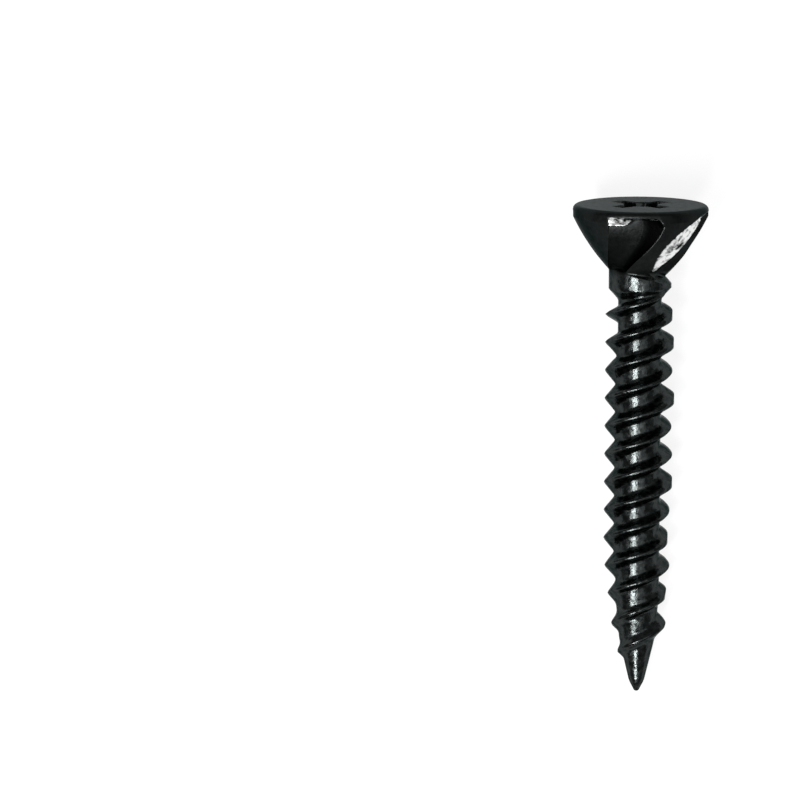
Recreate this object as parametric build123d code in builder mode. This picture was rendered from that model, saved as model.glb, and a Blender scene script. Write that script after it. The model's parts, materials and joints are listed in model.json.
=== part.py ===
from build123d import *
import math
import os

# Drywall screw, lying on the rim of its head and the crests of its thread, with the point lowest.
# It is drawn standing on its head first: Z is the distance from the face of the head.

# Head, a countersunk cone that bulges a little between its rim and its neck
HEAD_D = 8.3
RIM_H = 0.7
RIM_EDGE = 0.12
HEAD_H = 4.4
HEAD_BULGE = 0.2
NECK_D = 3.0

# Cross recess for the driver: four wings round a tapered core
RECESS_SPAN = 4.4
RECESS_WING = 1.05
RECESS_CORE_D = 2.4
RECESS_DEPTH = 2.4
RECESS_FLOOR_SPAN = 1.9
RECESS_FLOOR_WING = 0.75
RECESS_FLOOR_D = 1.3
RECESS_PIT = 0.35

# Four pockets that cut the seat, each with a straight left edge, a floor and a wall that leans right.
# Levels are shares of the pocket's height, and the rest are shares of the head's radius.
POCKETS = 4
POCKET_TOP = 0.36
POCKET_LEVELS = (0.0, 0.5, 0.8, 1.0)
POCKET_LEFT = 0.472
POCKET_FLOOR = (0.83, 0.58, 0.23, -0.05)
CORNER_ACROSS = (0.024, -0.084, -0.24, -0.31)
CORNER_DEEP = (0.87, 0.63, 0.37, 0.11)
WALL_ACROSS = (0.31, 0.15, -0.13, -0.24)
WALL_DEEP = (0.95, 0.77, 0.54, 0.26)
WALL_REACH = 3

# Collar left by the rolling where the thread begins, higher on one side
COLLAR_D = 3.76
COLLAR_Z = 4.65
COLLAR_H = 0.7
COLLAR_FOOT = 0.5
COLLAR_TILT = 8.0

# Core, and a point of three cones that grow steeper, with a round tip
LENGTH = 30.0
CORE_D = 2.66
SHOULDER_H = 5.8
WAIST_H = 3.2
WAIST_D = 2.16
NOSE_H = 0.65
NOSE_D = 0.92
TIP_R = 0.2

# Thread of two starts, which rises out of the collar and sinks into the point
STARTS = 2
MAJOR_D = 4.2
PITCH = 1.72
FLANK_ANGLE = 26.0
ROOT_SHARE = 0.55
THREAD_Z = 4.615
RUN_IN = 1.3
RUN_IN_D = 3.3
TAPER_Z = 21.6
TAPER = 0.122
RUN_OUT = 1.72
SINK = 0.2
THREAD_END_GAPS = (1.7, 2.8)
FIRST_ANGLE = 225.0
SECTION_ANGLE = 30.0

HEAD_R = HEAD_D / 2
NECK_R = NECK_D / 2
COLLAR_R = COLLAR_D / 2
CORE_R = CORE_D / 2
MAJOR_R = MAJOR_D / 2
NOSE_R = NOSE_D / 2
LEAD = STARTS * PITCH
SHOULDER_Z = LENGTH - SHOULDER_H
WAIST_Z = LENGTH - WAIST_H
NOSE_Z = LENGTH - NOSE_H


def between(z, low_z, low_r, high_z, high_r):
    """Radius at a height on the straight line between two points of the outline."""
    share = max(0.0, min((z - low_z) / (high_z - low_z), 1.0))
    return low_r + (high_r - low_r) * share


def core_radius(z):
    """Radius of the core at a height, straight and then drawn in to the point."""
    if z < WAIST_Z:
        return between(z, SHOULDER_Z, CORE_R, WAIST_Z, WAIST_D / 2)
    return between(z, WAIST_Z, WAIST_D / 2, NOSE_Z, NOSE_R)


def crest_radius(z, end_z):
    """Radius of the crest at a height, between its rise at the collar and its fall at the point."""
    full = MAJOR_R - TAPER * max(z - TAPER_Z, 0.0)
    rise = math.sin(min((z - THREAD_Z) / RUN_IN, 1.0) * math.pi / 2)
    fall = math.sin(min((end_z - z) / RUN_OUT, 1.0) * math.pi / 2)
    if rise < 1.0:
        return RUN_IN_D / 2 + (full - RUN_IN_D / 2) * rise
    sunk = core_radius(z) - SINK
    return sunk + (full - sunk) * fall


def ridge(start_angle, from_z, to_z, end_z):
    """One turn or less of one start of the thread, lofted through sections that hold the axis."""
    steps = math.ceil((to_z - from_z) / LEAD * 360 / SECTION_ANGLE)
    with BuildPart() as stretch:
        for i in range(steps + 1):
            z = from_z + (to_z - from_z) * i / steps
            angle = math.radians(start_angle + (z - THREAD_Z) / LEAD * 360)
            crest_r = crest_radius(z, end_z)
            root_r = crest_r * ROOT_SHARE
            root_w = 2 * (crest_r - root_r) * math.tan(math.radians(FLANK_ANGLE))
            outward = (math.cos(angle), math.sin(angle), 0)
            across = (math.sin(angle), -math.cos(angle), 0)
            with BuildSketch(Plane(origin=(0, 0, z), x_dir=outward, z_dir=across)):
                with BuildLine():
                    Polyline(
                        (root_r, -root_w / 2),
                        (crest_r, 0),
                        (root_r, root_w / 2),
                        close=True,
                    )
                make_face()
        loft()
    return stretch.part


ridges = []
for start, end_gap in enumerate(THREAD_END_GAPS):
    end_z = LENGTH - end_gap
    turns = math.ceil((end_z - THREAD_Z) / LEAD)
    turn_h = (end_z - THREAD_Z) / turns
    for turn in range(turns):
        from_z = THREAD_Z + turn_h * turn
        start_angle = FIRST_ANGLE + 360 / STARTS * start
        ridges.append(ridge(start_angle, from_z, from_z + turn_h, end_z))

with BuildPart() as wing:
    with BuildSketch():
        Rectangle(RECESS_SPAN, RECESS_WING)
    with BuildSketch(Plane.XY.offset(RECESS_DEPTH)):
        Rectangle(RECESS_FLOOR_SPAN, RECESS_FLOOR_WING)
    loft()

with BuildPart() as recess:
    with PolarLocations(0, 2, angular_range=180):
        add(wing.part)
    from_face = (Align.CENTER, Align.CENTER, Align.MIN)
    Cone(RECESS_CORE_D / 2, RECESS_FLOOR_D / 2, RECESS_DEPTH, align=from_face)
    with Locations((0, 0, RECESS_DEPTH)):
        Cone(RECESS_FLOOR_D / 2, 0, RECESS_PIT, align=from_face)

with BuildPart() as pocket:
    for level, floor, corner_x, corner_y, wall_x, wall_y in zip(
        POCKET_LEVELS, POCKET_FLOOR, CORNER_DEEP, CORNER_ACROSS, WALL_DEEP, WALL_ACROSS
    ):
        far_x = corner_x + WALL_REACH * (wall_x - corner_x)
        far_y = corner_y + WALL_REACH * (wall_y - corner_y)
        with BuildSketch(Plane.XY.offset(POCKET_TOP + (HEAD_H - POCKET_TOP) * level)):
            with BuildLine():
                Polyline(
                    (HEAD_D, POCKET_LEFT * HEAD_R),
                    (floor * HEAD_R, POCKET_LEFT * HEAD_R),
                    (corner_x * HEAD_R, -corner_y * HEAD_R),
                    (far_x * HEAD_R, -far_y * HEAD_R),
                    (HEAD_D, -far_y * HEAD_R),
                    close=True,
                )
            make_face()
    loft()

with BuildPart() as upright:
    # Head, core and point, turned about the axis
    with BuildSketch(Plane.XZ):
        with BuildLine():
            chord = math.hypot(HEAD_R - NECK_R, HEAD_H - RIM_H)
            bulge_point = (
                (HEAD_R + NECK_R) / 2 + HEAD_BULGE * (HEAD_H - RIM_H) / chord,
                (RIM_H + HEAD_H) / 2 + HEAD_BULGE * (HEAD_R - NECK_R) / chord,
            )
            tip_z = LENGTH - TIP_R
            to_tip = math.hypot(NOSE_R, tip_z - NOSE_Z)
            nose_slope = math.atan2(NOSE_R, tip_z - NOSE_Z) - math.asin(TIP_R / to_tip)
            tip_start = (TIP_R * math.cos(nose_slope), tip_z + TIP_R * math.sin(nose_slope))
            tip_middle = (math.pi / 2 + nose_slope) / 2
            Polyline((0, 0), (HEAD_R - RIM_EDGE, 0), (HEAD_R, RIM_EDGE), (HEAD_R, RIM_H))
            ThreePointArc((HEAD_R, RIM_H), bulge_point, (NECK_R, HEAD_H))
            Polyline(
                (NECK_R, HEAD_H),
                (CORE_R, COLLAR_Z),
                (CORE_R, SHOULDER_Z),
                (WAIST_D / 2, WAIST_Z),
                (NOSE_R, NOSE_Z),
                tip_start,
            )
            ThreePointArc(
                tip_start,
                (TIP_R * math.cos(tip_middle), tip_z + TIP_R * math.sin(tip_middle)),
                (0, LENGTH),
            )
            Line((0, LENGTH), (0, 0))
        make_face()
    revolve(axis=Axis.Z)
    with PolarLocations(0, POCKETS):
        add(pocket.part, mode=Mode.SUBTRACT)
    add(recess.part, mode=Mode.SUBTRACT)
    with Locations(Location((0, 0, COLLAR_Z), (-COLLAR_TILT, 0, 0))):
        Cylinder(COLLAR_R, COLLAR_H)
        with Locations((0, 0, COLLAR_H / 2)):
            Cone(COLLAR_R, CORE_R, COLLAR_FOOT, align=from_face)
    add(ridges)

# The axis leans so that the rim and the last full crest below it touch the floor together
FIRST_CREST_BELOW = THREAD_Z + (180 - FIRST_ANGLE) % (360 / STARTS) / 360 * LEAD
REST_Z = FIRST_CREST_BELOW + PITCH * math.floor((TAPER_Z - FIRST_CREST_BELOW) / PITCH)
LEAN = math.atan((HEAD_R - MAJOR_R) / (REST_Z - POCKET_TOP))
LYING = Plane(
    origin=(
        (HEAD_R * math.sin(LEAN) - LENGTH * math.cos(LEAN)) / 2,
        0,
        HEAD_R * math.cos(LEAN) + POCKET_TOP * math.sin(LEAN),
    ),
    x_dir=(math.sin(LEAN), 0, math.cos(LEAN)),
    z_dir=(math.cos(LEAN), 0, -math.sin(LEAN)),
)

with BuildPart() as drywall_screw:
    with Locations(LYING):
        add(upright.part)

drywall_screw.part.label = "drywall_screw"
os.makedirs("parts", exist_ok=True)
export_step(drywall_screw.part, "parts/drywall_screw.step")
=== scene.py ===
import bmesh
import bpy
import json
import math
import numpy as np
from mathutils import Matrix, Vector


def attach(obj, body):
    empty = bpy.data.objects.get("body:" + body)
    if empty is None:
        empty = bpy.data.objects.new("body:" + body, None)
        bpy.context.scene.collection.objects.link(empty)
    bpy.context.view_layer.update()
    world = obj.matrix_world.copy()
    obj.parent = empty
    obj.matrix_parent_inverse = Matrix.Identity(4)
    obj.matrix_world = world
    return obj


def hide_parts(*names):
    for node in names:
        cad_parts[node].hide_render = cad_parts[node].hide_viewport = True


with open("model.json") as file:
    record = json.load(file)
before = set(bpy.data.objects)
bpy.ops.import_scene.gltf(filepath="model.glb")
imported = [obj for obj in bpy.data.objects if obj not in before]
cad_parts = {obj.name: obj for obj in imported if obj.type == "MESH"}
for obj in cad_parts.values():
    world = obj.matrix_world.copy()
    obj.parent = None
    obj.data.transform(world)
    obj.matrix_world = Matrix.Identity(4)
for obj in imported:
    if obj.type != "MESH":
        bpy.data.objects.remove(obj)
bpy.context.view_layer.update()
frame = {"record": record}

# Lengths are in millimetres, apart from the height of the grain, the floor and the lamps, which are
# in metres. The screw is drawn with Z running from the face of the head to the point, X towards the
# viewer and Y to the viewer's left, and its mesh is then laid down.
MM = 0.001

# Head, with a seat that bulges a little
HEAD_R = 4.15
RIM_H = 0.7
RIM_ROUND = 0.3
HEAD_H = 4.4
HEAD_BULGE = 0.2
NECK_R = 1.5

# Cross recess: four wings round a tapered core, with a pit in the floor and a rounded lip
RECESS_SPAN = 4.0
RECESS_WING = 0.95
RECESS_CORE_R = 1.05
RECESS_BLEND = 0.12
RECESS_DEPTH = 2.4
RECESS_FLOOR_SPAN = 1.9
RECESS_FLOOR_WING = 0.75
RECESS_FLOOR_R = 0.65
RECESS_FLOOR_BLEND = 0.05
RECESS_PIT = 0.35
RECESS_PIT_R = RECESS_FLOOR_WING / 2
RECESS_LIP = 0.07
RECESS_TURN = math.radians(45)
LEAST_SINE = 1e-6

# Pockets under the head: heights of the stations, and what each station measures. The right walls of
# the two side pockets stay within the side reach.
POCKETS = 4
POCKET_TOP = 0.36
POCKET_LEFT = 1.96
POCKET_SIDE_REACH = 0.35
POCKET_STATIONS = (0.4, 2.4, 3.6, 4.4)
POCKET_FLOOR = (3.45, 2.42, 0.95, -0.2)
POCKET_CORNER_ACROSS = (0.1, -0.35, -1.0, -1.3)
POCKET_CORNER_DEEP = (3.6, 2.62, 1.55, 0.45)
POCKET_RIGHT_ACROSS = (1.3, 0.62, -0.55, -1.0)
POCKET_RIGHT_DEEP = (3.94, 3.18, 2.23, 1.1)

# The end of a pocket towards the rim is a ramp on the left and a rounded corner on the right
POCKET_CORNER_ROUND = 0.45
RAMP_LOW = 0.12
RAMP_HIGH = 0.5
RAMP_FROM = 1.0
RAMP_TO = 0.4

# Core, drawn in to the point by three cones: height and radius where one begins or ends
LENGTH = 30.0
CORE_R = 1.33
SHOULDER = (24.2, CORE_R)
WAIST = (26.8, 1.08)
NOSE = (29.35, 0.46)
TIP_START = (29.86, 0.19)
TIP_R = 0.2
CONE_BLEND = 0.05

# Collar, higher on the left. It is drawn away under the head, from its top up.
COLLAR_R = 1.92
COLLAR_Z = 4.72
COLLAR_H = 0.8
COLLAR_TILT = 0.22
COLLAR_SPREAD = 0.27
COLLAR_SLOPE = 0.9
COLLAR_BLEND = 0.08
COLLAR_TOP = 3.8
COLLAR_DRAW = 4.0
HEAD_BLEND = 0.08

# Thread of two starts, which rises out of the collar and sinks into the point. The front crest is
# the height of a crest that passes right in front of the viewer.
STARTS = 2
PITCH = 1.72
LEAD = STARTS * PITCH
MAJOR_R = 2.1
FRONT_CREST = 5.905
CREST_W = 0.1
CREST_ROUND = 0.03
FLANK = math.radians(26)
ROOT_BLEND = 0.16
THREAD_Z = 4.6
RUN_IN = 1.3
TAPER_Z = 21.6
TAPER = 0.122
THREAD_ENDS = (28.6, 27.5)
RUN_OUT = 1.9
SINK = 0.3

# The rolling left the flanks wider on the left and the right, and the last turns wider and stretched
LEFT = math.radians(90)
LEFT_FLARE = math.radians(24)
RIGHT = math.radians(270)
RIGHT_FLARE = math.radians(9)
ROLLED_FROM = 7.0
ROLLED_FADE = 3.0
ROLLED_SPREAD = 0.7
POINT_FROM = 24.0
POINT_FLANK = math.radians(14)
STRETCH = 0.25

# On the right the crests were rolled unevenly: from the head to the point, which are blunt, and how
# much each stands out
TURNS_ABOVE_FRONT = 2
BLUNT = (0, 1, 1, 0, 1, 0, 0, 1, 0, 1, 0, 1, 0, 0)
BLUNT_W = 0.4
OUT_OF_TRUE = (
    -0.1, -0.1, 0.0, -0.07, 0.05, -0.1, -0.04, -0.03, -0.17, -0.27, -0.07, -0.07, 0.17, 0.0,
)

# Painted highlight of bright steel on the land right of the front pocket, at these heights from this
# far right, dimmer across its middle, and on the end of that pocket, least at the rounded corner
HIGHLIGHT_HEIGHTS = (0.5, 1.14, 1.8, 2.3, 3.0, 3.9)
HIGHLIGHT_FROM = (3.6, 2.7, 1.95, 1.42, 1.02, 0.7)
HIGHLIGHT_DEEP = 1.5
HIGHLIGHT_EDGE = 0.1
HIGHLIGHT_DIP_MIDDLE = 2.25
HIGHLIGHT_DIP_SPREAD = 0.35
HIGHLIGHT_DIP_DEPTH = 0.3
RAMP_HIGHLIGHT = 0.65
CORNER_HIGHLIGHT_LESS = 0.33
SEAT_GAP = 0.03

# Finish that is matte on the head, and darkened as painted shade in the front and back pockets
MATTE_SHARE = 0.8
MATTE_END = 3.9
MATTE_FADE = 0.5
PAINTED_SHADE_FLOOR = 0.45
PAINTED_SHADE_EDGE = 0.9

# Colours, and the sheen, which colours what the surface reflects when it is seen at a low angle
SHANK_BLACKS = ((0.026, 0.029, 0.029, 1), (0.052, 0.058, 0.057, 1))
HEAD_BLACK = (0.013, 0.014, 0.014, 1)
# Near-black for the painted shade in the front and back pockets, then bright steel for the painted
# highlight
PAINTED_SHADE_BLACK = (0.001, 0.001, 0.001, 1)
HIGHLIGHT_STEELS = ((0.25, 0.26, 0.26, 1), (0.95, 0.96, 0.95, 1))
SHEEN = (0.41, 0.43, 0.43, 1)
# Lower sheen for the painted shade in the pockets
PAINTED_SHADE_SHEEN = (0.2, 0.22, 0.22, 1)
FACE_SHEEN = (0.48, 0.51, 0.51, 1)

# Mottling, smears on the painted highlight, and grain. Scales are counts in a metre.
NOISE_RANGE = (0.3, 0.7)
MOTTLE_SCALE = 3200
MOTTLE_DETAIL = 3
MOTTLE_RANGE = (0.35, 0.68)
SMEAR_SCALE = 1400
SMEAR_DETAIL = 4
SMEAR_RANGE = (0.28, 0.42)
GRAIN_SCALE = 4500
GRAIN_DETAIL = 3
GRAIN_HEIGHT = 0.00004
SHANK_GRAIN = 0.6
HEAD_GRAIN = 0.25
SHANK_ROUGHNESS = (0.08, 0.4)
HEAD_ROUGHNESS = 0.45
RAGGED = (-0.3, 0.3)
HIGHLIGHT_RANGE = (0.6, 1.0)

# Columns of the mesh in a quarter turn. They lie closer together at the ends of each stretch, and
# each point is softened by its neighbours.
WALL_COLUMNS = 18
FLOOR_COLUMNS = 21
EDGE_COLUMNS = 6
LAND_COLUMNS = 27
COLUMNS = POCKETS * (WALL_COLUMNS + FLOOR_COLUMNS + EDGE_COLUMNS + LAND_COLUMNS)
COLUMN_EASE = 0.6
COLUMN_SOFTEN = 0.25

# Rings of the head: shares of the way across a part, turns round an edge, and heights on the seat,
# where the columns even out before the rows of the shank begin
PIT_SHARES = (0.0, 0.5, 1.0)
FLOOR_SHARES = (0.5, 1.0)
WALL_SHARES = np.linspace(0.06, 1.0, 12)
LIP_TURNS = np.radians((30, 60, 90))
FACE_SHARES = (0.1, 0.3, 0.55, 0.8, 0.95, 1.0)
RIM_TURNS = np.radians((22.5, 45, 67.5, 90))
CLOSE_RINGS = np.linspace(RIM_ROUND + 0.03, 0.95, 18)
WIDE_RINGS = np.linspace(1.0, 4.95, 64)
EVEN_FROM = 3.9
EVEN_FADE = 1.0

# Rows of the shank, flattened at the head and towards the tip, and how close points become one
ROWS_PER_PITCH = 14
ROWS_PER_LEAD = STARTS * ROWS_PER_PITCH
ROWS_FROM = 5.0
TIP_ROWS_FROM = 29.2
SAME_POINT = 0.0002

# Floor and sky
FLOOR_SIZE = 6
FLOOR_COLOUR = (0.93, 0.93, 0.93, 1)
FLOOR_ROUGHNESS = 0.9
FLOOR_WHITE_SHARE = 0.88
SKY_COLOUR = (0.9, 0.93, 0.95, 1)
SKY_STRENGTH = 0.22

# Photograph: its width in pixels, the millimetres that one pixel shows, the column and the row of
# the middle of the screw's axis, the view's tilt towards the head and its roll, and a long lens
IMAGE_W = 800
PIXEL = 0.0611
SCREW_COLUMN = 638.5
SCREW_ROW = 448.0
VIEW_TILT = math.radians(8.0)
VIEW_ROLL = math.radians(0.55)
LENS = 800
SENSOR_W = 36
CLIP_RANGE = 100


def smooth(x):
    """Eases a share from 0 to 1."""
    x = np.clip(x, 0.0, 1.0)
    return x * x * (3 - 2 * x)


def over_edge(distance, width):
    """Eases from 0 to 1 over the width of an edge, with a half at the edge itself."""
    return smooth(distance / width + 0.5)


def soft_max(a, b, blend):
    """The larger of two lengths, with a rounded change from one to the other."""
    gap = np.clip(0.5 + 0.5 * (a - b) / blend, 0.0, 1.0)
    return b + (a - b) * gap + blend * gap * (1 - gap)


def through(values):
    """A smooth curve through a value at each pocket station."""
    return np.poly1d(np.polyfit(POCKET_STATIONS, values, len(values) - 1))


pocket_floor = through(POCKET_FLOOR)
corner_across = through(POCKET_CORNER_ACROSS)
corner_deep = through(POCKET_CORNER_DEEP)
right_across = through(POCKET_RIGHT_ACROSS)
right_deep = through(POCKET_RIGHT_DEEP)


def seat_radius(z):
    """Radius of the head's side at a height, before the pockets are cut."""
    chord = math.hypot(HEAD_R - NECK_R, HEAD_H - RIM_H)
    arc = (chord ** 2 / 4 + HEAD_BULGE ** 2) / (2 * HEAD_BULGE)
    lean = math.atan2(HEAD_R - NECK_R, HEAD_H - RIM_H)
    back = arc - HEAD_BULGE
    middle_r = (HEAD_R + NECK_R) / 2 - back * math.cos(lean)
    middle_z = (RIM_H + HEAD_H) / 2 - back * math.sin(lean)
    if z <= RIM_H:
        return HEAD_R
    if z >= HEAD_H:
        return NECK_R
    return middle_r + math.sqrt(arc ** 2 - (z - middle_z) ** 2)


def leaves(start, past, radius):
    """Where the line from start through past leaves the circle of that radius."""
    way = (past - start) / np.linalg.norm(past - start)
    along = start @ way
    return start + way * (-along + math.sqrt(max(along ** 2 + radius ** 2 - start @ start, 0.0)))


def spread(count):
    """Shares from 0 up to 1, closer together at both ends."""
    even = np.arange(count) / count
    return even * (1 - COLUMN_EASE) + (1 - np.cos(even * math.pi)) / 2 * COLUMN_EASE


def pocket_ceiling(across):
    """Heights where the end of a pocket begins and where it reaches the floor, at a place across it."""
    past = np.clip(across - (right_across(POCKET_TOP) - POCKET_CORNER_ROUND), 0.0, POCKET_CORNER_ROUND)
    top = POCKET_TOP + POCKET_CORNER_ROUND - np.sqrt(POCKET_CORNER_ROUND ** 2 - past ** 2)
    steep = smooth((across + RAMP_FROM) / (RAMP_FROM - RAMP_TO))
    return top, top + RAMP_HIGH + (RAMP_LOW - RAMP_HIGH) * steep


def pocket_right(level, radius, corner, at_side):
    """Where the right wall of a pocket meets the head's side: the two side pockets are narrower."""
    wide = leaves(corner, np.array((right_deep(level), -right_across(level))), radius)
    if not at_side:
        return wide
    across = -soft_max(wide[1], -POCKET_SIDE_REACH, POCKET_SIDE_REACH)
    return np.array((math.sqrt(radius ** 2 - across ** 2), -across))


def pocket_quarter(z, radius, level, at_side):
    """One pocket at a level of the head, and the land on its left up to the next pocket."""
    corner = np.array((corner_deep(level), -corner_across(level)))
    right = pocket_right(level, radius, corner, at_side)
    next_right = pocket_right(level, radius, corner, not at_side)
    low_left = np.array((pocket_floor(level), POCKET_LEFT))
    if np.linalg.norm(low_left) < radius:
        left = np.array((math.sqrt(radius ** 2 - POCKET_LEFT ** 2), POCKET_LEFT))
    else:
        low_left = left = leaves(corner, low_left, radius)
    land_from = math.atan2(left[1], left[0])
    land_to = math.atan2(next_right[1], next_right[0]) + 2 * math.pi / POCKETS

    wall = right + (corner - right) * spread(WALL_COLUMNS)[:, None]
    floor = corner + (low_left - corner) * spread(FLOOR_COLUMNS)[:, None]
    edge = low_left + (left - low_left) * spread(EDGE_COLUMNS)[:, None]
    land_angles = land_from + (land_to - land_from) * spread(LAND_COLUMNS)
    land = radius * np.stack((np.cos(land_angles), np.sin(land_angles)), axis=1)
    quarter = np.concatenate((wall, floor, edge, land))

    # Towards the rim the pocket comes up to the seat
    angles = np.sort(np.arctan2(quarter[:, 1], quarter[:, 0]))
    on_seat = radius * np.stack((np.cos(angles), np.sin(angles)), axis=1)
    top, bottom = pocket_ceiling(-quarter[:, 1])
    share = np.clip((z - top) / (bottom - top), 0.0, 1.0)[:, None]
    return on_seat + (quarter - on_seat) * share


def pocket_ring(z):
    """One level of the head with its four pockets, as points (towards the viewer, left)."""
    radius = seat_radius(z)
    level = min(max(z, POCKET_STATIONS[0]), POCKET_STATIONS[-1])
    turns = []
    for turn in range(POCKETS):
        angle = 2 * math.pi * turn / POCKETS
        spin = np.array(((math.cos(angle), math.sin(angle)), (-math.sin(angle), math.cos(angle))))
        turns.append(pocket_quarter(z, radius, level, turn % 2 == 1) @ spin)
    ring = np.concatenate(turns)
    before = np.roll(ring, 1, axis=0)
    after = np.roll(ring, -1, axis=0)
    return COLUMN_SOFTEN * before + (1 - 2 * COLUMN_SOFTEN) * ring + COLUMN_SOFTEN * after


def polar(ring):
    """Angles and radii of a ring's points, the angles growing all the way round."""
    return np.unwrap(np.arctan2(ring[:, 1], ring[:, 0])), np.hypot(ring[:, 0], ring[:, 1])


def core_radius(z):
    """Radius of the core, straight and then drawn in to the point."""
    radius = CORE_R
    for (from_z, from_r), (to_z, to_r) in ((SHOULDER, WAIST), (WAIST, NOSE), (NOSE, TIP_START)):
        line = from_r + (to_r - from_r) * (z - from_z) / (to_z - from_z)
        radius = -soft_max(-radius, -line, CONE_BLEND)
    ball = np.sqrt(np.maximum(TIP_R ** 2 - np.maximum(z - (LENGTH - TIP_R), 0.0) ** 2, 0.0))
    return np.where(z > LENGTH - TIP_R, np.minimum(radius, ball), radius)


def collar_radius(angle, z):
    """Radius of the collar, which is higher on the left and drawn in above and below."""
    middle = COLLAR_Z - COLLAR_TILT * np.sin(angle)
    half = COLLAR_H / 2 + COLLAR_SPREAD * np.sin(angle)
    return COLLAR_R - np.maximum(np.abs(z - middle) - half, 0.0) * COLLAR_SLOPE


def crest_radius(z, end):
    """Radius of a crest, between its rise out of the collar and its fall into the point."""
    full = MAJOR_R - TAPER * np.maximum(z - TAPER_Z, 0.0)
    rise = np.sin(np.clip((z - THREAD_Z) / RUN_IN, 0.0, 1.0) * math.pi / 2)
    fall = np.sin(np.clip((end - z) / RUN_OUT, 0.0, 1.0) * math.pi / 2)
    base = core_radius(z) - SINK
    return base + (full - base) * rise * fall


def near(angle, side):
    """How close an angle is to one side of the screw, from 0 to 1."""
    turned = (angle - side + math.pi) % (2 * math.pi) - math.pi
    return np.exp(-(turned / ROLLED_SPREAD) ** 2)


def shank_radius(angle, z):
    """Radius of the shank at an angle and a height: core, collar and both ridges of the thread."""
    radius = soft_max(core_radius(z), collar_radius(angle, z), COLLAR_BLEND)
    at_point = smooth((z - POINT_FROM) / ROLLED_FADE)
    thread_z = z - STRETCH * at_point
    number = np.rint((thread_z - FRONT_CREST - LEAD * angle / (2 * math.pi)) / PITCH).astype(int)
    turn = np.clip(number + TURNS_ABOVE_FRONT, 0, len(BLUNT) - 1)
    on_left = near(angle, LEFT)
    on_right = near(angle, RIGHT)
    width = CREST_W + BLUNT_W * np.array(BLUNT)[turn] * on_right
    flare = LEFT_FLARE * on_left + RIGHT_FLARE * on_right
    flank = FLANK + flare * smooth((z - ROLLED_FROM) / ROLLED_FADE)
    flank = flank + POINT_FLANK * at_point * (1 - on_left)
    for start, end in enumerate(THREAD_ENDS):
        first = FRONT_CREST - start * PITCH + LEAD * angle / (2 * math.pi)
        off = (thread_z - first + LEAD / 2) % LEAD - LEAD / 2
        crest = crest_radius(z, end) + np.array(OUT_OF_TRUE)[turn] * on_right
        side = np.maximum(np.sqrt(off ** 2 + CREST_ROUND ** 2) - width / 2, 0.0)
        radius = soft_max(crest - side / np.tan(flank), radius, ROOT_BLEND)
    return radius


def recess_radius(angle, span, wing, core, blend):
    """Outline of the cross as a radius at each angle."""
    turned = (angle - RECESS_TURN + math.pi / 4) % (math.pi / 2) - math.pi / 4
    side = wing / 2 / np.maximum(np.abs(np.sin(turned)), LEAST_SINE)
    end = span / 2 / np.cos(turned)
    wings = -soft_max(-side, -end, blend)
    return soft_max(wings, np.full_like(wings, core), blend)


def level_ring(angles, radii, height):
    """A ring of points at one height, as angles, radii and heights."""
    return angles, np.full(COLUMNS, radii), np.full(COLUMNS, height)


def recess_rings(angles, mouth):
    """Rings of the recess, from the middle of its pit over its floor and wall to its lip."""
    floor = recess_radius(
        angles, RECESS_FLOOR_SPAN, RECESS_FLOOR_WING, RECESS_FLOOR_R, RECESS_FLOOR_BLEND,
    )
    rings = []
    for share in PIT_SHARES:
        height = RECESS_DEPTH + RECESS_PIT * (1 - share)
        rings.append(level_ring(angles, RECESS_PIT_R * share, height))
    for share in FLOOR_SHARES:
        radii = RECESS_PIT_R + (floor - RECESS_PIT_R) * share
        rings.append(level_ring(angles, radii, RECESS_DEPTH))
    for share in WALL_SHARES:
        height = RECESS_DEPTH + (RECESS_LIP - RECESS_DEPTH) * share
        rings.append(level_ring(angles, floor + (mouth - floor) * share, height))
    for turn in LIP_TURNS:
        height = RECESS_LIP * (1 - math.sin(turn))
        rings.append(level_ring(angles, mouth + RECESS_LIP * (1 - math.cos(turn)), height))
    return rings


def face_rings(angles, inner):
    """Rings of the face, from the lip of the recess outwards, and round the rim."""
    rings = []
    for share in FACE_SHARES:
        rings.append(level_ring(angles, inner + (HEAD_R - RIM_ROUND - inner) * share, 0.0))
    for turn in RIM_TURNS:
        radius = HEAD_R - RIM_ROUND + RIM_ROUND * math.sin(turn)
        rings.append(level_ring(angles, radius, RIM_ROUND * (1 - math.cos(turn))))
    return rings


def seat_rings(even):
    """Rings of the side of the head with its pockets, which goes over into the collar."""
    rings = []
    for height in (*CLOSE_RINGS, *WIDE_RINGS):
        angles, radii = polar(pocket_ring(height))
        angles = angles + (even - angles) * smooth((height - EVEN_FROM) / EVEN_FADE)
        collar = shank_radius(angles, height) - COLLAR_DRAW * max(COLLAR_TOP - height, 0.0)
        rings.append(level_ring(angles, soft_max(radii, collar, HEAD_BLEND), height))
    return rings


def shank_rows(even):
    """Rows of points that climb with the thread, flattened where they meet the head and the tip."""
    step = PITCH / ROWS_PER_PITCH
    first_row = FRONT_CREST + LEAD * even[0] / (2 * math.pi)
    while first_row > ROWS_FROM - LEAD:
        first_row -= step
    tip_h = LENGTH - TIP_ROWS_FROM
    row_count = math.ceil((TIP_ROWS_FROM + tip_h * math.pi / 2 - first_row) / step) + 1
    climb = LEAD * ((even - even[0]) / (2 * math.pi))
    rows = []
    for row in range(row_count):
        heights = np.maximum(first_row + row * step + climb, ROWS_FROM)
        into_tip = np.clip((heights - TIP_ROWS_FROM) / tip_h, 0.0, math.pi / 2)
        flattened = TIP_ROWS_FROM + tip_h * np.sin(into_tip)
        heights = np.where(heights > TIP_ROWS_FROM, flattened, heights)
        rows.append((even, shank_radius(even, heights), heights))
    return rows


def ring_faces(low, high):
    """Faces between two closed rings, given the first vertex of each."""
    faces = []
    for column in range(COLUMNS):
        after = (column + 1) % COLUMNS
        faces.append((low + column, low + after, high + after, high + column))
    return faces


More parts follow.
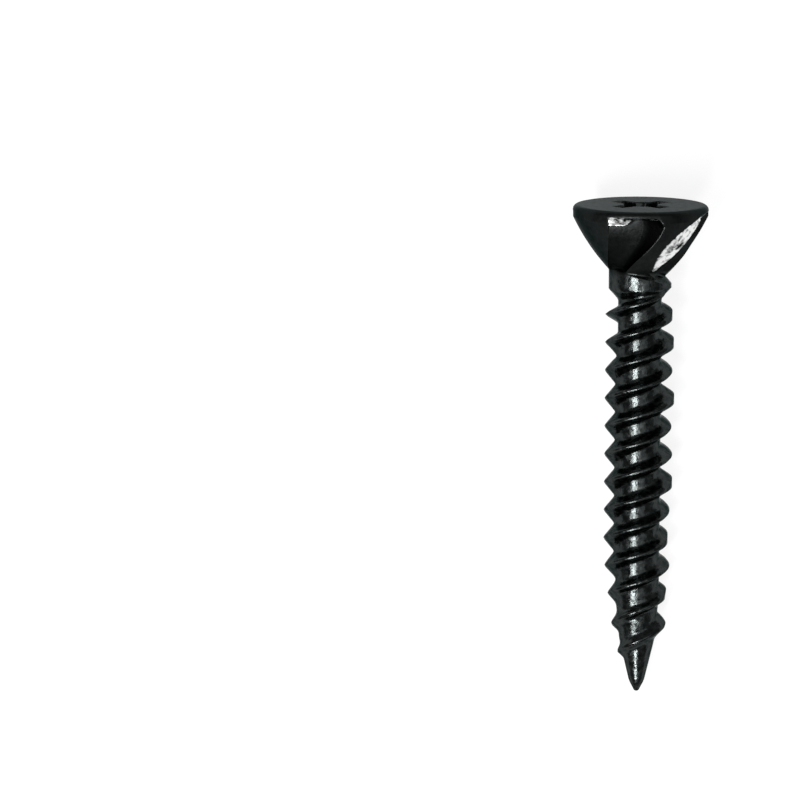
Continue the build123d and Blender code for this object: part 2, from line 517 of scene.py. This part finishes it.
def row_faces(begin, row_count):
    """Faces between the rows of the shank, which close round it one lead further down."""
    faces = []
    for row in range(row_count - 1):
        for column in range(COLUMNS):
            low = begin + row * COLUMNS + column
            high = low + COLUMNS
            if column + 1 < COLUMNS:
                faces.append((low, low + 1, high + 1, high))
            elif row + ROWS_PER_LEAD + 1 < row_count:
                next_low = begin + (row + ROWS_PER_LEAD) * COLUMNS
                faces.append((low, next_low, next_low + COLUMNS, high))
    return faces


def screw_points():
    """Vertices and faces of the whole screw: closed rings for the head, then rows for the shank."""
    angles, _ = polar(pocket_ring(POCKET_TOP))
    even = np.arange(COLUMNS) * 2 * math.pi / COLUMNS
    even += np.mean(angles - even)
    mouth = recess_radius(angles, RECESS_SPAN, RECESS_WING, RECESS_CORE_R, RECESS_BLEND)
    rings = recess_rings(angles, mouth) + face_rings(angles, mouth + RECESS_LIP) + seat_rings(even)
    rows = shank_rows(even)
    vertices = []
    for angles, radii, heights in rings + rows:
        vertices.append(np.stack((radii * np.cos(angles), radii * np.sin(angles), heights), axis=1))
    faces = []
    for ring in range(len(rings) - 1):
        faces += ring_faces(ring * COLUMNS, (ring + 1) * COLUMNS)
    begin = len(rings) * COLUMNS
    faces += row_faces(begin, len(rows))
    faces += ring_faces(begin - COLUMNS, begin)
    return np.concatenate(vertices), faces


def painted_highlight_share(x, y, z):
    """Share of painted highlight: bright steel beside the front pocket, and at the end of the pocket."""
    inside = over_edge(-y - np.interp(z, HIGHLIGHT_HEIGHTS, HIGHLIGHT_FROM), HIGHLIGHT_EDGE)
    inside = inside * (x > HIGHLIGHT_DEEP) * (z > HIGHLIGHT_HEIGHTS[0]) * (z < HIGHLIGHT_HEIGHTS[-1])
    inside = inside * (1 - HIGHLIGHT_DIP_DEPTH * np.exp(-((z - HIGHLIGHT_DIP_MIDDLE) / HIGHLIGHT_DIP_SPREAD) ** 2))
    top, bottom = pocket_ceiling(-y)
    in_pocket = (x > RECESS_SPAN / 2) * (y < POCKET_LEFT) * (-y < right_across(z))
    down = np.clip((z - top) / (bottom - top), 0.0, 1.0)
    on_ramp = in_pocket * (z < bottom + SEAT_GAP) * (down > 0)
    ramp = on_ramp * (RAMP_HIGHLIGHT + (1 - RAMP_HIGHLIGHT) * down)
    return np.maximum(inside, ramp * (1 - CORNER_HIGHLIGHT_LESS * smooth((-y + RAMP_FROM) / RAMP_FROM)))


def painted_pocket_shade(x, y, z):
    """Share of painted shade in the front and back pockets: their right wall, less so their floor."""
    painted_shade = np.zeros_like(z)
    seat = np.vectorize(seat_radius)(z)
    for angle in (0, math.pi):
        deep = x * math.cos(angle) + y * math.sin(angle)
        across = x * math.sin(angle) - y * math.cos(angle)
        inside = (deep > 0) * (z > POCKET_TOP) * (z < HEAD_H) * (np.hypot(x, y) < seat - SEAT_GAP)
        inside = inside * (across > -POCKET_LEFT) * (across < right_across(z))
        wall = over_edge(across - corner_across(z), PAINTED_SHADE_EDGE)
        painted_shade = np.maximum(painted_shade, inside * (PAINTED_SHADE_FLOOR + (1 - PAINTED_SHADE_FLOOR) * wall))
    return painted_shade


def add_areas(mesh):
    """Marks the face, the matte head, painted shade and painted highlight on the mesh, before it is laid
    down.
    """
    places = np.empty(3 * len(mesh.vertices))
    mesh.vertices.foreach_get("co", places)
    x, y, z = places.reshape(-1, 3).T
    in_mouth = np.hypot(x, y) < RECESS_SPAN / 2 + RECESS_LIP
    in_recess = (z > RECESS_LIP / 2) * (z < RECESS_DEPTH) * in_mouth
    # Two of the areas are painted: highlight beside the front pocket, and shade in the front and back
    # pockets
    areas = {
        "matte": MATTE_SHARE * (1 - smooth((z - MATTE_END) / MATTE_FADE)) * (1 - in_recess),
        "face": 1 - smooth(z / RIM_ROUND),
        "painted_highlight": painted_highlight_share(x, y, z),
        "painted_shade": painted_pocket_shade(x, y, z),
    }
    for name, values in areas.items():
        area = mesh.attributes.new(name, "FLOAT", "POINT")
        area.data.foreach_set("value", values.astype(np.float32))


def lying_pose():
    """The matrix that lays the drawn screw where the CAD node lies."""
    mounts = {mount["name"]: mount for mount in frame["record"]["mounts"]}
    face = Vector(mounts["driver_recess"]["pos_m"])
    along = -Vector(mounts["driver_recess"]["axis"])
    viewer = Vector((0, 0, 1)) - along * along.z
    viewer.normalize()
    left = along.cross(viewer)
    turn = Matrix((viewer, left, along)).transposed().to_4x4()
    return Matrix.Translation(face) @ turn @ Matrix.Scale(MM, 4)


def feed(tree, socket, value):
    """Gives a socket a plain value, or links the output of another node to it."""
    if isinstance(value, bpy.types.NodeSocket):
        tree.links.new(value, socket)
    else:
        socket.default_value = value


def noise(tree, place, scale, detail):
    """A noise over the screw's own coordinates."""
    node = tree.nodes.new("ShaderNodeTexNoise")
    feed(tree, node.inputs["Vector"], place)
    feed(tree, node.inputs["Scale"], scale)
    feed(tree, node.inputs["Detail"], detail)
    return node.outputs["Fac"]


def area(tree, name):
    """The share that was marked on the mesh under that name."""
    node = tree.nodes.new("ShaderNodeAttribute")
    node.attribute_name = name
    return node.outputs["Fac"]


def mix(tree, kind, share, first, second):
    """The first of two numbers or colours, changed to the second by a share."""
    node = tree.nodes.new("ShaderNodeMix")
    node.data_type = kind
    feed(tree, node.inputs["Factor"], share)
    feed(tree, node.inputs["A"], first)
    feed(tree, node.inputs["B"], second)
    return node.outputs["Result"]


def ramp(tree, value, limits, colours):
    """The first colour up to one limit, the second from the other, and a change between them."""
    node = tree.nodes.new("ShaderNodeValToRGB")
    for element, limit, colour in zip(node.color_ramp.elements, limits, colours):
        element.position = limit
        element.color = colour
    feed(tree, node.inputs["Fac"], value)
    return node.outputs["Color"]


def carried(tree, value, from_range, to_range):
    """A value carried over from one range to another, and held at its ends."""
    node = tree.nodes.new("ShaderNodeMapRange")
    feed(tree, node.inputs["Value"], value)
    for name, limit in zip(("From Min", "From Max", "To Min", "To Max"), (*from_range, *to_range)):
        feed(tree, node.inputs[name], limit)
    return node.outputs["Result"]


def combined(tree, operation, first, second):
    """Two numbers put together by an operation."""
    node = tree.nodes.new("ShaderNodeMath")
    node.operation = operation
    feed(tree, node.inputs[0], first)
    feed(tree, node.inputs[1], second)
    return node.outputs["Value"]


def black_phosphate():
    """Black phosphate on steel: matte head, oiled glossy shank, painted shade and painted highlight."""
    material = bpy.data.materials.new("black_phosphate_steel")
    material.use_nodes = True
    tree = material.node_tree
    shader = tree.nodes["Principled BSDF"]
    shader.inputs["Metallic"].default_value = 1.0
    place = tree.nodes.new("ShaderNodeTexCoord").outputs["Object"]
    mottle = noise(tree, place, MOTTLE_SCALE, MOTTLE_DETAIL)
    matte = area(tree, "matte")
    painted_shade = area(tree, "painted_shade")

    # At a low angle the finish shines less in the painted shade of the pockets, and more on the face
    sheen = mix(tree, "RGBA", painted_shade, SHEEN, PAINTED_SHADE_SHEEN)
    sheen = mix(tree, "RGBA", area(tree, "face"), sheen, FACE_SHEEN)
    feed(tree, shader.inputs["Specular Tint"], sheen)

    # The black is mottled on the shank, darker on the head and darkest in the painted shade of the
    # pockets
    black = ramp(tree, mottle, MOTTLE_RANGE, SHANK_BLACKS)
    black = mix(tree, "RGBA", matte, black, HEAD_BLACK)
    black = mix(tree, "RGBA", painted_shade, black, PAINTED_SHADE_BLACK)

    # The painted highlight of bright steel has a ragged edge, with specks of the black left inside it
    ragged = carried(tree, mottle, NOISE_RANGE, RAGGED)
    highlight_reach = combined(tree, "ADD", area(tree, "painted_highlight"), ragged)
    highlight = carried(tree, highlight_reach, HIGHLIGHT_RANGE, (0.0, 1.0))
    smear = noise(tree, place, SMEAR_SCALE, SMEAR_DETAIL)
    steel = ramp(tree, smear, SMEAR_RANGE, HIGHLIGHT_STEELS)
    feed(tree, shader.inputs["Base Color"], mix(tree, "RGBA", highlight, black, steel))

    gloss = carried(tree, mottle, NOISE_RANGE, SHANK_ROUGHNESS)
    feed(tree, shader.inputs["Roughness"], mix(tree, "FLOAT", matte, gloss, HEAD_ROUGHNESS))

    bump = tree.nodes.new("ShaderNodeBump")
    grain_strength = carried(tree, matte, (0.0, 1.0), (SHANK_GRAIN, HEAD_GRAIN))
    feed(tree, bump.inputs["Strength"], grain_strength)
    feed(tree, bump.inputs["Distance"], GRAIN_HEIGHT)
    feed(tree, bump.inputs["Height"], noise(tree, place, GRAIN_SCALE, GRAIN_DETAIL))
    feed(tree, shader.inputs["Normal"], bump.outputs["Normal"])
    return material


def white_floor():
    """A plain white that the eye and reflections see as the background, with shadows left in it."""
    material = bpy.data.materials.new("white_floor")
    material.use_nodes = True
    tree = material.node_tree
    shader = tree.nodes["Principled BSDF"]
    shader.inputs["Base Color"].default_value = FLOOR_COLOUR
    shader.inputs["Roughness"].default_value = FLOOR_ROUGHNESS
    white = tree.nodes.new("ShaderNodeEmission")
    white.inputs["Strength"].default_value = 1.0
    ray = tree.nodes.new("ShaderNodeLightPath")
    seen = combined(tree, "MAXIMUM", ray.outputs["Is Camera Ray"], ray.outputs["Is Glossy Ray"])
    blend = tree.nodes.new("ShaderNodeMixShader")
    feed(tree, blend.inputs["Fac"], combined(tree, "MULTIPLY", seen, FLOOR_WHITE_SHARE))
    feed(tree, blend.inputs[1], shader.outputs["BSDF"])
    feed(tree, blend.inputs[2], white.outputs["Emission"])
    feed(tree, tree.nodes["Material Output"].inputs["Surface"], blend.outputs["Shader"])
    return material


def make_screw():
    """The screw's mesh, laid in place of the CAD node."""
    points, faces = screw_points()
    mesh = bpy.data.meshes.new("screw_surface")
    mesh.from_pydata(points.tolist(), [], faces)
    work = bmesh.new()
    work.from_mesh(mesh)
    bmesh.ops.remove_doubles(work, verts=work.verts, dist=SAME_POINT)
    bmesh.ops.recalc_face_normals(work, faces=work.faces)
    work.to_mesh(mesh)
    work.free()
    add_areas(mesh)
    mesh.transform(lying_pose())
    mesh.shade_smooth()
    mesh.materials.append(black_phosphate())
    screw = bpy.data.objects.new("screw_surface", mesh)
    bpy.context.scene.collection.objects.link(screw)
    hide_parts("drywall_screw")
    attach(screw, "root")


def make_floor():
    """A plain white floor that keeps the screw's shadow."""
    bpy.ops.mesh.primitive_plane_add(size=FLOOR_SIZE)
    floor = bpy.context.object
    floor.name = "floor"
    floor.data.materials.append(white_floor())


def area_light(name, towards, distance, width, height, radiance):
    """A soft lamp seen from the screw in one direction, as bright to the eye as the radiance says."""
    data = bpy.data.lights.new(name, "AREA")
    data.shape = "RECTANGLE"
    data.size = width
    data.size_y = height
    data.energy = radiance * math.pi * width * height
    lamp = bpy.data.objects.new(name, data)
    bpy.context.scene.collection.objects.link(lamp)
    towards = Vector(towards).normalized()
    lamp.location = towards * distance
    lamp.rotation_euler = towards.to_track_quat("Z", "Y").to_euler()


def make_lights():
    """A long lamp above on the viewer's left, one beyond the point, a wide dim one and a dim sky."""
    area_light("key", (0.24, -0.36, 0.93), distance=0.45, width=0.09, height=0.16, radiance=42.0)
    area_light("point", (0.87, -0.2, 1.0), distance=0.45, width=0.09, height=0.12, radiance=55.0)
    area_light("fill", (0.0, 0.25, 1.0), distance=1.5, width=1.2, height=1.2, radiance=0.9)
    world = bpy.data.worlds.new("studio")
    world.use_nodes = True
    sky = world.node_tree.nodes["Background"]
    sky.inputs["Color"].default_value = SKY_COLOUR
    sky.inputs["Strength"].default_value = SKY_STRENGTH
    bpy.context.scene.world = world


def make_camera():
    """The photograph's view: from above the screw, a little towards its head."""
    pose = lying_pose()
    viewer = pose.to_3x3() @ Vector((1, 0, 0))
    along = pose.to_3x3() @ Vector((0, 0, 1))
    viewer.normalize()
    along.normalize()
    back = viewer * math.cos(VIEW_TILT) - along * math.sin(VIEW_TILT)
    up = -(along + back * -along.dot(back)).normalized()
    right = up.cross(back)
    up_rolled = up * math.cos(VIEW_ROLL) - right * math.sin(VIEW_ROLL)
    right_rolled = up_rolled.cross(back)

    data = bpy.data.cameras.new("camera")
    data.lens = LENS
    data.sensor_width = SENSOR_W
    pixel = PIXEL * MM
    distance = IMAGE_W * pixel * data.lens / data.sensor_width
    data.clip_start = distance / CLIP_RANGE
    data.clip_end = distance * CLIP_RANGE
    camera = bpy.data.objects.new("camera", data)
    bpy.context.scene.collection.objects.link(camera)
    middle = pose @ Vector((0, 0, LENGTH / 2))
    eye = middle + back * distance
    pixels_right = SCREW_COLUMN - IMAGE_W / 2
    pixels_down = SCREW_ROW - IMAGE_W / 2
    aim = middle - right_rolled * pixels_right * pixel + up_rolled * pixels_down * pixel
    look = (eye - aim).normalized()
    side = up_rolled.cross(look).normalized()
    above = look.cross(side)
    camera.matrix_world = Matrix.Translation(eye) @ Matrix((side, above, look)).transposed().to_4x4()
    bpy.context.scene.camera = camera


make_screw()
make_floor()
make_lights()
make_camera()
bpy.context.scene.view_settings.view_transform = "Standard"
